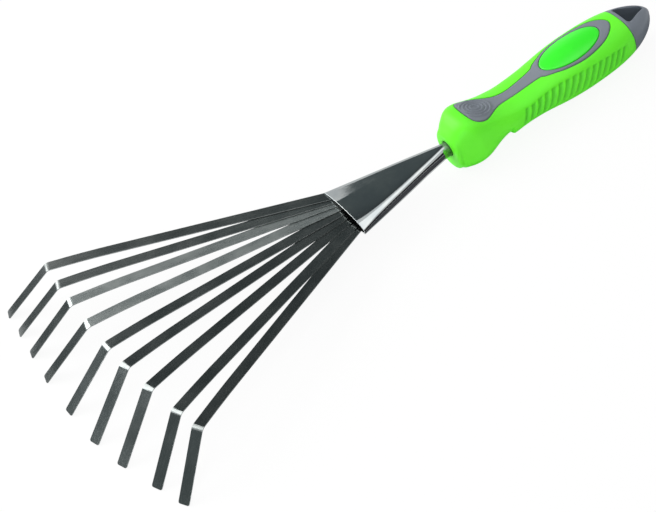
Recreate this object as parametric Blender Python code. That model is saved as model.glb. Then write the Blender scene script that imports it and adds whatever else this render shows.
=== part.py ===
"""Hand fan rake: nine sprung steel tines in a pressed steel socket, on a moulded two-colour handle.

Handle frame: +X runs from the handle's front face to its butt, +Y to the side of the first tine,
+Z up.  The rake lies as it would on a floor, on the ends of its tines and the underside of the handle.
"""
from math import acos, atan2, cos, hypot, pi, radians, sin, tan

import bmesh
import bpy
from mathutils import Matrix, Vector

MM = 0.001

# Fits
GAP = 0.3 * MM               # between moulded pieces that meet
SLIP = 0.15 * MM             # round steel pieces inside one another
STACK_GAP = 0.03 * MM        # between one tine and the next in the stack

# Tines, listed from the far side (+Y) to the near side, the first on top of the stack
TINE_WIDTH = 6.2 * MM
TINE_THICKNESS = 0.45 * MM
TINE_HEADINGS = (26.1, 21.3, 16.4, 9.9, 3.0, -3.1, -10.2, -17.9, -23.0)
TINE_BENDS = (41.0, 41.6, 41.8, 41.1, 41.5, 41.2, 42.9, 46.5, 48.3)
TINE_TWISTS = (5.7, 0.8, 0.4, -5.1, 1.4, 10.0, 6.3, 2.4, 3.1)
FAN_RADIUS = 162.7 * MM      # rivet to bend, for a tine on the centre line
FAN_SKEW = 0.019             # how much longer a tine on the far side is, per radian
FAN_SPREAD = 0.345           # how much longer the outer tines are, per radian squared
ARCH_LENGTH = 35.0 * MM      # last stretch before the bend, which droops a little
ARCH_RADIUS = 600.0 * MM
BEND_RADIUS = 4.6 * MM
TIP_CORNER = 1.0 * MM
ROOT_CORNER = 2.8 * MM
ROOT_OVERHANG = 3.4 * MM     # strip behind the rivet's centre

# Rivet through the roots of the tines
RIVET_DIAMETER = 2.8 * MM
RIVET_HEAD_DIAMETER = 5.2 * MM
RIVET_HEAD_HEIGHT = 0.6 * MM
RIVET_TO_MOUTH = 28.2 * MM

# Socket, pressed from sheet: flat mouth in front, round neck behind
SOCKET_LENGTH = 62.0 * MM    # mouth to the handle's front face
SHEET = 0.8 * MM
MOUTH_SIDE_CLEARANCE = 0.3 * MM
MOUTH_CLEARANCE = 0.1 * MM
MOUTH_CORNER = 1.4 * MM
MOUTH_CROWN = 0.4 * MM
NECK_INSERT = 5.0 * MM       # how far the neck enters the handle
HEAD_PITCH = radians(3.6)    # the socket and fan rise this much from the line of the handle
LEAN = radians(2.9)          # the stepped stack of tines makes the rake lean this much to the far side

# Tang, a steel rod from the socket's neck into the core
TANG_DIAMETER = 6.1 * MM
TANG_FRONT = 15.0 * MM
TANG_REAR = 62.0 * MM
TANG_CHAMFER = 0.6 * MM
TANG_SET = 4.0 * MM          # length over which the rod bends level with the handle
WING_WIDTH = 8.6 * MM
WING_THICKNESS = 4.0 * MM
WING_LENGTH = 9.0 * MM
WING_FROM_END = 6.0 * MM

# Handle body: distances from the front face, half widths and half heights
HANDLE_LENGTH = 135.0 * MM
FACE_X = 2.6 * MM            # flat front face round the neck
FACE_HALF_WIDTH = 8.8 * MM
FACE_TOP = 7.9 * MM
FACE_BOTTOM = 11.6 * MM
NOSE_ROUNDING = 1.15         # 1 is a plain cone from the front face to the guard, 2 a quarter ellipse
GUARD_X = 10.7 * MM
GUARD_HALF_WIDTH = 13.6 * MM
GUARD_TOP = 16.5 * MM
GUARD_BOTTOM = 13.5 * MM
WAIST_X = 43.0 * MM
WAIST_HALF_WIDTH = 14.8 * MM
WAIST_TOP = 8.0 * MM
WAIST_BOTTOM = 7.0 * MM
BELLY_TO_BUTT = 50.5 * MM
BELLY_HALF_WIDTH = 16.4 * MM
BELLY_TOP = 11.8 * MM
BELLY_BOTTOM = 12.2 * MM
BUTT_ROUNDING = 2.9
BUTT_WIDTH_FALL = 0.73
BUTT_HEIGHT_FALL = 0.45
BUTT_FLAT = 0.3 * MM
GUARD_SQUARENESS = 3.3
BELLY_SQUARENESS = 2.4
STEP_X = 35.0 * MM           # finger stop under the handle
STEP_HEIGHT = 2.1 * MM

# Sleeve, core and inlays
BUTT_LENGTH = 19.7 * MM      # grey butt, behind the green sleeve
SLEEVE_WALL = 2.2 * MM
FRONT_WALL = 6.0 * MM
NECK_RECESS = 0.75 * MM      # open ring around the neck in the front face
INLAY_THICKNESS = 1.0 * MM
PAD_FRONT = 15.7 * MM
PAD_CORNER_SET = 1.4 * MM    # how far the corners of the pad lie behind its front
PAD_WIDEST = 20.7 * MM
PAD_HALF_WIDTH = 10.3 * MM
INLAY_NECK_TO_PLATE = 19.6 * MM
INLAY_NECK_HALF_WIDTH = 3.1 * MM
RING_TO_SEAM = 5.8 * MM      # green between the ring and the grey butt
RING_REAR_LENGTH = 23.4 * MM # widest place of the ring to its rear end
RING_HALF_WIDTH = 11.7 * MM
RING_REAR_RIM = 6.8 * MM     # grey behind the plate
PLATE_HALF_LENGTH = 18.5 * MM
PLATE_HALF_WIDTH = 9.5 * MM
PAD_SHAPE = ((0.18, 0.91), (0.48, 0.5), (0.68, 0.34))    # shares of the way to the neck, of the width
RING_SHAPE = ((0.36, 0.35), (0.45, 0.51), (0.55, 0.66), (0.73, 0.88), (1.0, 1.0))
RING_REAR_SHAPE = ((0.5, 0.87), (0.81, 0.59), (1.0, 0.18))

# Hanging hole, a rounded triangle
HOLE_FROM_SEAM = 2.1 * MM
HOLE_TO_BUTT = 3.0 * MM
HOLE_HALF_WIDTH = 6.9 * MM
HOLE_CORNER = 1.8 * MM

BODY_SEGMENTS = 44
SOCKET_SEGMENTS = 48
FULL_HEIGHT_SHARE = 1 - (TANG_FRONT + SHEET) / SOCKET_LENGTH   # the socket is as high as its neck past here
SIDE_SHARE = 0.1             # of a quarter of the socket's section, on its upright side
CORNER_SHARE = 0.55          # and around its corner
ROUND_SEGMENTS = 24
RINGS_TO_STEP = 6            # rings of points from the guard to the finger stop
RINGS_TO_SEAM = 14           # from there to the seam
RINGS_TO_BUTT = 10           # and from there to the butt end
ARCH_STEPS = 4
BEND_STEPS = 6

# Values that follow from the ones above
TINE_COUNT = len(TINE_HEADINGS)
STACK_PITCH = TINE_THICKNESS + STACK_GAP
STACK_HEIGHT = TINE_COUNT * TINE_THICKNESS + (TINE_COUNT - 1) * STACK_GAP
MOUTH_X = -SOCKET_LENGTH
RIVET_X = MOUTH_X + RIVET_TO_MOUTH
WIDEST_HEADING = radians(max(abs(h) for h in TINE_HEADINGS))
FAN_EDGE = RIVET_TO_MOUTH * tan(WIDEST_HEADING) + TINE_WIDTH / 2 / cos(WIDEST_HEADING)
MOUTH_HALF_WIDTH = FAN_EDGE + MOUTH_SIDE_CLEARANCE + SHEET
MOUTH_HALF_HEIGHT = STACK_HEIGHT / 2 + MOUTH_CLEARANCE + SHEET
NECK_RADIUS = TANG_DIAMETER / 2 + SLIP + SHEET
CORE_FRONT_X = FRONT_WALL + GAP
BELLY_X = HANDLE_LENGTH - BELLY_TO_BUTT
SEAM_X = HANDLE_LENGTH - BUTT_LENGTH
RING_REAR = SEAM_X - RING_TO_SEAM
RING_X = RING_REAR - RING_REAR_LENGTH
PLATE_X = RING_REAR - RING_REAR_RIM - PLATE_HALF_LENGTH
INLAY_NECK_X = PLATE_X - PLATE_HALF_LENGTH - INLAY_NECK_TO_PLATE
HOLE_BASE_X = SEAM_X + HOLE_FROM_SEAM
HOLE_APEX_X = HANDLE_LENGTH - HOLE_TO_BUTT


def material(name, colour, roughness, metallic):
    """A Principled material in the part's own colour."""
    made = bpy.data.materials.new(name)
    made.use_nodes = True
    shader = made.node_tree.nodes["Principled BSDF"]
    shader.inputs["Base Color"].default_value = (*colour, 1.0)
    shader.inputs["Roughness"].default_value = roughness
    shader.inputs["Metallic"].default_value = metallic
    made.diffuse_color = (*colour, 1.0)
    return made


def clear_scene():
    for item in list(bpy.data.objects):
        bpy.data.objects.remove(item, do_unlink=True)


def add_empty(name, parent=None, location=(0.0, 0.0, 0.0), rotation=(0.0, 0.0, 0.0)):
    item = bpy.data.objects.new(name, None)
    bpy.context.scene.collection.objects.link(item)
    item.parent = parent
    item.location = location
    item.rotation_euler = rotation
    return item


def add_object(name, bm, parent, surface=None, sharp=radians(35)):
    """Turn a bmesh into a shaded object; without a surface it is a cutter that is never rendered."""
    bmesh.ops.recalc_face_normals(bm, faces=bm.faces)
    mesh = bpy.data.meshes.new(name)
    bm.to_mesh(mesh)
    bm.free()
    mesh.shade_smooth()
    mesh.set_sharp_from_angle(angle=sharp)
    item = bpy.data.objects.new(name, mesh)
    bpy.context.scene.collection.objects.link(item)
    item.parent = parent
    if surface is None:
        item.hide_render = True
        item.display_type = "WIRE"
    else:
        mesh.materials.append(surface)
    return item


def combine(target, cutter, operation):
    modifier = target.modifiers.new(cutter.name, "BOOLEAN")
    modifier.operation = operation
    modifier.solver = "EXACT"
    modifier.object = cutter


def loft(rings):
    """Extrude one face through a list of rings of points, closed at both ends."""
    bm = bmesh.new()
    face = bm.faces.new([bm.verts.new(point) for point in rings[0]])
    for number, ring in enumerate(rings[1:]):
        grown = bmesh.ops.extrude_face_region(bm, geom=[face])["geom"]
        if number:
            bmesh.ops.delete(bm, geom=[face], context="FACES_ONLY")
        face = next(item for item in grown if isinstance(item, bmesh.types.BMFace))
        for vertex, point in zip(face.verts, ring):
            vertex.co = point
    return bm


def prism(outline, bottom, top):
    """A flat outline in X and Y, extruded straight up."""
    return loft([[Vector((x, y, z)) for x, y in outline] for z in (bottom, top)])


def cylinder(radius, depth, axis, centre=(0.0, 0.0, 0.0), segments=ROUND_SEGMENTS):
    bm = bmesh.new()
    turn = Matrix.Rotation(pi / 2, 4, "Y") if axis == "X" else Matrix.Identity(4)
    place = Matrix.Translation(centre) @ turn
    bmesh.ops.create_cone(bm, cap_ends=True, segments=segments, radius1=radius, radius2=radius,
                          depth=depth, matrix=place)
    return bm


def mix(first, second, share):
    return first + (second - first) * share


def ease(share):
    share = min(max(share, 0.0), 1.0)
    return share * share * (3 - 2 * share)


# Handle body

def body_section(x):
    """Half width, top, bottom and squareness of the whole handle at x."""
    if x <= GUARD_X:
        along = max(x - FACE_X, 0.0) / (GUARD_X - FACE_X)
        rise = (1 - (1 - along) ** NOSE_ROUNDING) ** (1 / NOSE_ROUNDING)
        return (mix(FACE_HALF_WIDTH, GUARD_HALF_WIDTH, rise), mix(FACE_TOP, GUARD_TOP, rise),
                mix(FACE_BOTTOM, GUARD_BOTTOM, rise), mix(BELLY_SQUARENESS, GUARD_SQUARENESS, rise))
    if x <= WAIST_X:
        share = ease((x - GUARD_X) / (WAIST_X - GUARD_X))
        return (mix(GUARD_HALF_WIDTH, WAIST_HALF_WIDTH, share), mix(GUARD_TOP, WAIST_TOP, share),
                mix(GUARD_BOTTOM, WAIST_BOTTOM, share), mix(GUARD_SQUARENESS, BELLY_SQUARENESS, share))
    if x <= BELLY_X:
        share = ease((x - WAIST_X) / (BELLY_X - WAIST_X))
        return (mix(WAIST_HALF_WIDTH, BELLY_HALF_WIDTH, share), mix(WAIST_TOP, BELLY_TOP, share),
                mix(WAIST_BOTTOM, BELLY_BOTTOM, share), BELLY_SQUARENESS)
    left = 1 - min((x - BELLY_X) / (HANDLE_LENGTH - BELLY_X), 1.0) ** BUTT_ROUNDING
    height_left = left ** BUTT_HEIGHT_FALL
    return (BELLY_HALF_WIDTH * left ** BUTT_WIDTH_FALL, BELLY_TOP * height_left, BELLY_BOTTOM * height_left,
            BELLY_SQUARENESS)


def step_at(x):
    """Extra depth of the underside behind the finger stop, fading out by the belly."""
    return STEP_HEIGHT * (1 - ease((x - STEP_X) / (BELLY_X - STEP_X))) if x > STEP_X else 0.0


def body_ring(x, inset=0.0, segments=BODY_SEGMENTS):
    half_width, top, bottom, squareness = body_section(x)
    ring = []
    for index in range(segments):
        angle = 2 * pi * index / segments
        across, up = cos(angle), sin(angle)
        y = (half_width - inset) * abs(across) ** (2 / squareness) * (1 if across > 0 else -1)
        height = top if up > 0 else bottom + step_at(x) * ease(-2 * up)
        z = (height - inset) * abs(up) ** (2 / squareness) * (1 if up > 0 else -1)
        ring.append(Vector((x, y, z)))
    return ring


def body_stations(start, end):
    """Ring positions between two distances: close at the rounded ends and at the finger stop."""
    marks = [mix(FACE_X, GUARD_X, share) for share in (0.0, 0.03, 0.1, 0.22, 0.4, 0.65, 1.0)]
    marks += [mix(GUARD_X, STEP_X, ring / RINGS_TO_STEP) for ring in range(1, RINGS_TO_STEP)]
    marks += [STEP_X - GAP / 2, STEP_X + GAP / 2]
    marks += [mix(STEP_X, SEAM_X, ring / RINGS_TO_SEAM) for ring in range(1, RINGS_TO_SEAM)]
    marks += [mix(SEAM_X, HANDLE_LENGTH, sin(pi / 2 * ring / RINGS_TO_BUTT))
              for ring in range(1, RINGS_TO_BUTT)]
    inside = [mark for mark in marks if start + GAP < mark < end - GAP]
    return [start] + inside + [end]


def body_form(start, end, inset=0.0):
    return loft([body_ring(x, inset) for x in body_stations(start, end)])


def smooth_outline(points, steps=3):
    """A closed smooth curve through hand-set points."""
    outline = []
    count = len(points)
    for index in range(count):
        before, start, end, after = (points[(index + shift) % count] for shift in (-1, 0, 1, 2))
        for step in range(steps):
            t = step / steps
            outline.append(tuple(
                0.5 * (2 * b + (c - a) * t + (2 * a - 5 * b + 4 * c - d) * t * t
                       + (3 * b - a - 3 * c + d) * t ** 3)
                for a, b, c, d in zip(before, start, end, after)))
    return outline


def grow(outline, margin):
    """Move every point of a closed outline outward by a margin."""
    grown = []
    count = len(outline)
    for index in range(count):
        (ax, ay), (bx, by) = outline[index - 1], outline[(index + 1) % count]
        length = hypot(bx - ax, by - ay)
        x, y = outline[index]
        grown.append((x + (by - ay) / length * margin, y - (bx - ax) / length * margin))
    return grown


def inlay_outline():
    """Thumb pad, narrow neck and oval ring, seen from above, anticlockwise."""
    half = [(PAD_FRONT, PAD_HALF_WIDTH * 0.43), (PAD_FRONT + PAD_CORNER_SET, PAD_HALF_WIDTH * 0.86)]
    half += [(PAD_WIDEST, PAD_HALF_WIDTH)]
    half += [(mix(PAD_WIDEST, INLAY_NECK_X, along), PAD_HALF_WIDTH * across) for along, across in PAD_SHAPE]
    half += [(INLAY_NECK_X, INLAY_NECK_HALF_WIDTH)]
    half += [(mix(INLAY_NECK_X, RING_X, along), RING_HALF_WIDTH * across) for along, across in RING_SHAPE]
    half += [(mix(RING_X, RING_REAR, along), RING_HALF_WIDTH * across) for along, across in RING_REAR_SHAPE]
    near = [(x, -y) for x, y in half]
    return smooth_outline(near + half[::-1])


def plate_outline(margin=0.0, segments=40):
    return [(PLATE_X + (PLATE_HALF_LENGTH + margin) * cos(2 * pi * index / segments),
             (PLATE_HALF_WIDTH + margin) * sin(2 * pi * index / segments)) for index in range(segments)]


def hole_outline(steps=5):
    """The hanging hole's triangle with its three corners rounded."""
    corners = [(HOLE_BASE_X, -HOLE_HALF_WIDTH), (HOLE_APEX_X, 0.0), (HOLE_BASE_X, HOLE_HALF_WIDTH)]
    outline = []
    for index, corner in enumerate(corners):
        at = Vector(corner)
        back = (Vector(corners[index - 1]) - at).normalized()
        ahead = (Vector(corners[(index + 1) % 3]) - at).normalized()
        half_angle = acos(back.dot(ahead)) / 2
        centre = at + (back + ahead).normalized() * HOLE_CORNER / sin(half_angle)
        first = at + back * HOLE_CORNER / tan(half_angle) - centre
        sweep = pi - 2 * half_angle
        start = atan2(first.y, first.x)
        for step in range(steps + 1):
            angle = start + sweep * step / steps
            outline.append((centre.x + HOLE_CORNER * cos(angle), centre.y + HOLE_CORNER * sin(angle)))
    return outline


def build_handle(root):
    green = material("green_grip", (0.11, 0.78, 0.03), 0.35, 0.0)
    plate_green = material("green_plate", (0.03, 0.85, 0.02), 0.2, 0.0)
    grey = material("grey_moulding", (0.19, 0.2, 0.24), 0.5, 0.0)
    tall = GUARD_TOP * 2

    whole = add_object("form_of_handle", body_form(FACE_X, HANDLE_LENGTH - BUTT_FLAT), root)
    inlay_floor = add_object("form_under_inlay", body_form(FACE_X, SEAM_X, INLAY_THICKNESS), root)
    pocket_floor = add_object("form_under_pocket", body_form(FACE_X, SEAM_X, INLAY_THICKNESS + GAP), root)

    cavity_form = body_form(FRONT_WALL, SEAM_X + SLEEVE_WALL, SLEEVE_WALL - GAP)
    cavity = add_object("cavity_for_core", cavity_form, root)
    neck_hole = add_object("hole_for_neck", cylinder(NECK_RADIUS + NECK_RECESS, FRONT_WALL * 4, "X"), root)
    pocket = add_object("pocket_for_inlay", prism(grow(inlay_outline(), GAP), 0.0, tall), root)
    combine(pocket, pocket_floor, "DIFFERENCE")

    sleeve = add_object("grip_sleeve", body_form(FACE_X, SEAM_X - GAP / 2), root, green)
    combine(sleeve, cavity, "DIFFERENCE")
    combine(sleeve, neck_hole, "DIFFERENCE")
    combine(sleeve, pocket, "DIFFERENCE")

    inlay = add_object("top_inlay", prism(inlay_outline(), 0.0, tall), root, grey)
    plate_hole = add_object("hole_for_plate", prism(plate_outline(GAP), -tall, tall * 2), root)
    combine(inlay, plate_hole, "DIFFERENCE")
    combine(inlay, whole, "INTERSECT")
    combine(inlay, inlay_floor, "DIFFERENCE")

    plate = add_object("name_plate", prism(plate_outline(), 0.0, tall), root, plate_green)
    combine(plate, whole, "INTERSECT")
    combine(plate, inlay_floor, "DIFFERENCE")

    stations = body_stations(CORE_FRONT_X, SEAM_X - GAP / 2)
    rings = [body_ring(x, SLEEVE_WALL) for x in stations]
    stations = body_stations(SEAM_X + GAP / 2, HANDLE_LENGTH - BUTT_FLAT)
    rings += [body_ring(SEAM_X + GAP / 2, SLEEVE_WALL)] + [body_ring(x) for x in stations]
    core = add_object("handle_core", loft(rings), root, grey)
    hole = add_object("hanging_hole", prism(hole_outline(), -tall, tall), root)
    combine(core, hole, "DIFFERENCE")
    tang_space = add_object("space_for_tang", tang_form(GAP), root)
    combine(core, tang_space, "DIFFERENCE")


# Tang

def tang_ring(centre, slope, half_width, half_height):
    """An ellipse across the rod, leaning with the slope of its centre line."""
    ring = []
    for index in range(ROUND_SEGMENTS):
        angle = 2 * pi * index / ROUND_SEGMENTS
        up = half_height * sin(angle)
        ring.append(centre + Vector((up * sin(slope), half_width * cos(angle), up * cos(slope))))
    return ring


def tang_height(x):
    """Height and slope of the rod's centre line, which levels out just behind the socket's neck."""
    start, end = NECK_INSERT, NECK_INSERT + TANG_SET
    grade = tan(HEAD_PITCH)
    if x <= start:
        return -grade * x, HEAD_PITCH
    if x >= end:
        return -grade * (start + end) / 2, 0.0
    share = (x - start) / TANG_SET
    return -grade * (start + TANG_SET * share * (1 - share / 2)), HEAD_PITCH * (1 - share)


def tang_form(margin=0.0):
    """The rod, with its front end in the socket and pressed wings near its rear end in the core."""
    radius = TANG_DIAMETER / 2
    rear = TANG_REAR + margin
    wing_front = TANG_REAR - WING_FROM_END - WING_LENGTH
    profile = [(-TANG_FRONT, -TANG_CHAMFER, 0.0), (TANG_CHAMFER - TANG_FRONT, 0.0, 0.0)]
    profile += [(NECK_INSERT + TANG_SET * share, 0.0, 0.0) for share in (0.0, 0.25, 0.5, 0.75, 1.0)]
    profile += [(wing_front - radius, 0.0, 0.0), (wing_front, 0.0, 1.0)]
    profile += [(wing_front + WING_LENGTH, 0.0, 1.0), (rear - TANG_CHAMFER, 0.0, 0.0)]
    profile += [(rear, -TANG_CHAMFER, 0.0)]
    rings = []
    for x, chamfer, pressed in profile:
        height, slope = tang_height(x)
        rings.append(tang_ring(Vector((x, 0.0, height)), slope,
                               mix(radius, WING_WIDTH / 2, pressed) + chamfer + margin,
                               mix(radius, WING_THICKNESS / 2, pressed) + chamfer + margin))
    return loft(rings)


# Socket

def socket_ring(share, inset, x):
    """A section of the socket, a rectangle with small corners that becomes a circle at the neck."""
    half_width = mix(MOUTH_HALF_WIDTH, NECK_RADIUS, share) - inset
    half_height = mix(MOUTH_HALF_HEIGHT, NECK_RADIUS, min(share / FULL_HEIGHT_SHARE, 1.0)) - inset
    corner = max(MOUTH_CORNER - inset, SLIP)
    corner_y = mix(corner, half_width, ease(share) ** 0.5)
    corner_z = mix(corner, half_height, ease(share * 3))
    crown = MOUTH_CROWN * (1 - share)
    quarter = []
    for step in range(SOCKET_SEGMENTS // 4 + 1):
        along = step / (SOCKET_SEGMENTS // 4)
        around = mix(min(max((along - SIDE_SHARE) / CORNER_SHARE, 0.0), 1.0), along, share) * pi / 2
        flat_y = min((1 - along) / (1 - SIDE_SHARE - CORNER_SHARE), 1.0)
        flat_z = min(along / SIDE_SHARE, 1.0)
        y = (half_width - corner_y) * flat_y + corner_y * cos(around)
        z = (half_height - corner_z) * flat_z + corner_z * sin(around)
        quarter.append((y, z + crown * (1 - (y / half_width) ** 2) * z / half_height))
    upper = quarter + [(-y, z) for y, z in quarter[-2::-1]]
    outline = upper + [(y, -z) for y, z in upper[-2:0:-1]]
    return [Vector((x, y, z)) for y, z in outline]


def socket_form(inset, overrun):
    """The socket's outside, or with an inset its inside, which overruns both ends."""
    stations = [0.0, 0.03, 0.08, 0.15, 0.25, 0.37, 0.5, 0.63, 0.76, 0.88, 1.0]
    rings = [socket_ring(share, inset, mix(MOUTH_X, 0.0, share)) for share in stations]
    if overrun:
        rings.insert(0, socket_ring(0.0, inset, MOUTH_X - overrun))
    rings.append(socket_ring(1.0, inset, NECK_INSERT + overrun))
    return loft(rings)


def build_socket(head):
    steel = material("polished_steel", (0.55, 0.57, 0.6), 0.15, 1.0)
    socket = add_object("socket", socket_form(0.0, 0.0), head, steel)
    inside = add_object("inside_of_socket", socket_form(SHEET, SHEET), head)
    combine(socket, inside, "DIFFERENCE")


# Tines

def stack_height(index):
    """Height of a tine's middle above the middle of the stack."""
    return ((TINE_COUNT - 1) / 2 - index) * STACK_PITCH


def heading_vector(slope, turn):
    """Direction that falls by a slope and is turned sideways from +X."""
    return Vector((cos(slope) * cos(turn), cos(slope) * sin(turn), -sin(slope)))


def tine_path(index):
    """Centre line of a tine from its root to the end of its bend, in its own frame, +X outward.

    Each entry is a point, the downward slope there and the sideways turn there.
    """
    heading = radians(TINE_HEADINGS[index])
    bend = radians(TINE_BENDS[index])
    twist = radians(TINE_TWISTS[index])
    reach = FAN_RADIUS * (1 + FAN_SKEW * heading + FAN_SPREAD * heading ** 2)
    droop = ARCH_LENGTH / ARCH_RADIUS
    point = Vector((-ROOT_OVERHANG, 0.0, 0.0))
    path = [(point, 0.0, 0.0)]
    runs = [(reach - ARCH_LENGTH + ROOT_OVERHANG, 0.0, 0.0)]
    runs += [(ARCH_LENGTH / ARCH_STEPS, droop / ARCH_STEPS, 0.0)] * ARCH_STEPS
    part = (bend - droop) / BEND_STEPS
    runs += [(BEND_RADIUS * part, part, twist / BEND_STEPS)] * BEND_STEPS
    slope = turn = 0.0
    for length, more_slope, more_turn in runs:
        middle_slope = slope + more_slope / 2
        middle_turn = turn + more_turn / 2
        point = point + heading_vector(middle_slope, middle_turn) * length
        slope += more_slope
        turn += more_turn
        path.append((point, slope, turn))
    return path


def tine_ring(point, slope, turn):
    side = Vector((-sin(turn), cos(turn), 0.0)) * TINE_WIDTH / 2
    up = Vector((sin(slope) * cos(turn), sin(slope) * sin(turn), cos(slope))) * TINE_THICKNESS / 2
    return [point - side - up, point + side - up, point + side + up, point - side + up]


def tine_form(index, place):
    """One strip, its tip cut off where the first of its corners reaches the floor."""
    path = tine_path(index)
    point, slope, turn = path[-1]
    along = heading_vector(slope, turn)
    fall = (place.to_3x3() @ along).z
    lowest = min((place @ corner).z for corner in tine_ring(point, slope, turn))
    path.append((point - along * lowest / fall, slope, turn))
    bm = loft([tine_ring(*entry) for entry in path])
    bm.verts.ensure_lookup_table()
    for vertices, radius, segments in ((bm.verts[:4], ROOT_CORNER, 5), (bm.verts[-4:], TIP_CORNER, 3)):
        flat = [edge for edge in bm.edges if edge.verts[0] in vertices and edge.verts[1] in vertices
                and edge.calc_length() < TINE_THICKNESS * 1.5]
        bmesh.ops.bevel(bm, geom=flat, offset=radius, segments=segments, profile=0.5, affect="EDGES")
    return bm


def build_tines(head, head_place):
    steel = material("spring_steel", (0.3, 0.32, 0.32), 0.3, 1.0)
    hole = add_object("hole_for_rivet", cylinder(RIVET_DIAMETER / 2 + SLIP, STACK_HEIGHT * 2, "Z",
                                                 (RIVET_X, 0.0, 0.0)), head)
    for index, heading in enumerate(TINE_HEADINGS):
        spin = pi - radians(heading)
        location = Vector((RIVET_X, 0.0, stack_height(index)))
        place = head_place @ Matrix.Translation(location) @ Matrix.Rotation(spin, 4, "Z")
        tine = add_object(f"tine_{index + 1}", tine_form(index, place), head, steel, radians(25))
        tine.location = location
        tine.rotation_euler = (0.0, 0.0, spin)
        combine(tine, hole, "DIFFERENCE")


def build_rivet(head):
    steel = material("rivet_steel", (0.4, 0.41, 0.42), 0.4, 1.0)
    shank, cap = RIVET_DIAMETER / 2, RIVET_HEAD_DIAMETER / 2
    seat = STACK_HEIGHT / 2 + STACK_GAP
    profile = [(cap * 0.7, seat + RIVET_HEAD_HEIGHT), (cap, seat + RIVET_HEAD_HEIGHT / 2)]
    profile += [(cap, seat), (shank, seat)]
    profile += [(radius, -height) for radius, height in reversed(profile)]
    turns = [2 * pi * index / ROUND_SEGMENTS for index in range(ROUND_SEGMENTS)]
    rings = [[Vector((radius * cos(turn), radius * sin(turn), height)) for turn in turns]
             for radius, height in profile]
    rivet = add_object("root_rivet", loft(rings), head, steel)
    rivet.location = (RIVET_X, 0.0, 0.0)


def build_tang(root):
    steel = material("tang_steel", (0.4, 0.41, 0.42), 0.4, 1.0)
    add_object("tang", tang_form(), root, steel)


def lowest_of_handle():
    turn = Matrix.Rotation(-LEAN, 3, "X")
    stations = body_stations(FACE_X, HANDLE_LENGTH - BUTT_FLAT)
    return min((turn @ point).z for x in stations for point in body_ring(x))


def main():
    clear_scene()
    root_place = Matrix.Translation((0.0, 0.0, -lowest_of_handle())) @ Matrix.Rotation(-LEAN, 4, "X")
    root = add_empty("rake_origin", None, root_place.to_translation(), root_place.to_euler())
    head = add_empty("head_pitch", root, (0.0, 0.0, 0.0), (0.0, HEAD_PITCH, 0.0))
    head_place = root_place @ Matrix.Rotation(HEAD_PITCH, 4, "Y")
    build_handle(root)
    build_tang(root)
    build_socket(head)
    build_tines(head, head_place)
    build_rivet(head)
    centre_on_floor(root)


def centre_on_floor(root):
    """Move the rake so that the middle of its footprint is at the origin."""
    bpy.context.view_layer.update()
    graph = bpy.context.evaluated_depsgraph_get()
    points = []
    for item in bpy.data.objects:
        if item.type == "MESH" and not item.hide_render:
            shown = item.evaluated_get(graph)
            points += [shown.matrix_world @ vertex.co for vertex in shown.data.vertices]
    for axis in (0, 1):
        values = [point[axis] for point in points]
        root.location[axis] -= (min(values) + max(values)) / 2


main()
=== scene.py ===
from math import acos, atan2, cos, hypot, pi, radians, sin, sqrt, tan

import bmesh
import bpy
import numpy as np
from mathutils import Matrix, Vector


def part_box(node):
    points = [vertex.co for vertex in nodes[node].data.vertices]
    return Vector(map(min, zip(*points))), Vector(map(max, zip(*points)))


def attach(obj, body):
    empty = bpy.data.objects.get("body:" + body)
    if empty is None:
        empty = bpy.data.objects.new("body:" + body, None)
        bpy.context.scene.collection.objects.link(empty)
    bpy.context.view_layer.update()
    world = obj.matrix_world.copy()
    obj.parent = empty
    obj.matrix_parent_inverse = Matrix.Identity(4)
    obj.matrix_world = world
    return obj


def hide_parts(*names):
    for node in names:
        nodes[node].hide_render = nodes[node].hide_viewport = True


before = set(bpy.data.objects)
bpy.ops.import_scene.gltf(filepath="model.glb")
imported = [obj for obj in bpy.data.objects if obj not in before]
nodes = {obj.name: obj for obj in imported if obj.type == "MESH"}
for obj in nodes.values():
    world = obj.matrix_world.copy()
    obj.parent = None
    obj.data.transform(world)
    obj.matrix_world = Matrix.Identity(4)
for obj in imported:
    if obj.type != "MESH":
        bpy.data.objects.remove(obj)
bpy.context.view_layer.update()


# The studio: a white floor and a white surround, wide soft lamps behind and above the rake and a
# small one beside its tips.  Dark screens, seen only in reflections, stand where a photographer
# sets up black card.

AMBIENT = 0.42              # strength of the surround as light; to the eye it is white
FLOOR_GLOW = 0.92           # share of the floor's white that no shadow takes away
FLOOR_HALF = 4.0            # half the floor's side, in metres
RAKE_MIDDLE = Vector((0.0, 0.0, 0.02))


class Signal:
    """A value that runs through the nodes of a material; arithmetic with it adds Math nodes."""

    def __init__(self, coat, socket):
        self.coat, self.socket = coat, socket

    def math(self, operation, *values):
        return self.coat.node("Math", {"operation": operation}, dict(enumerate(values)))

    def __add__(self, other):
        return self.math("ADD", self, other)

    def __sub__(self, other):
        return self.math("SUBTRACT", self, other)

    def __rsub__(self, other):
        return self.math("SUBTRACT", other, self)

    def __mul__(self, other):
        return self.math("MULTIPLY", self, other)

    def most(self, other):
        return self.math("MAXIMUM", self, other)

    def part(self, low, high):
        """0 below low, 1 above high, smooth in between."""
        values = {"Value": self, "From Min": low, "From Max": high}
        return self.coat.node("MapRange", {"interpolation_type": "SMOOTHSTEP"}, values)

    __radd__ = __add__
    __rmul__ = __mul__


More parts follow.
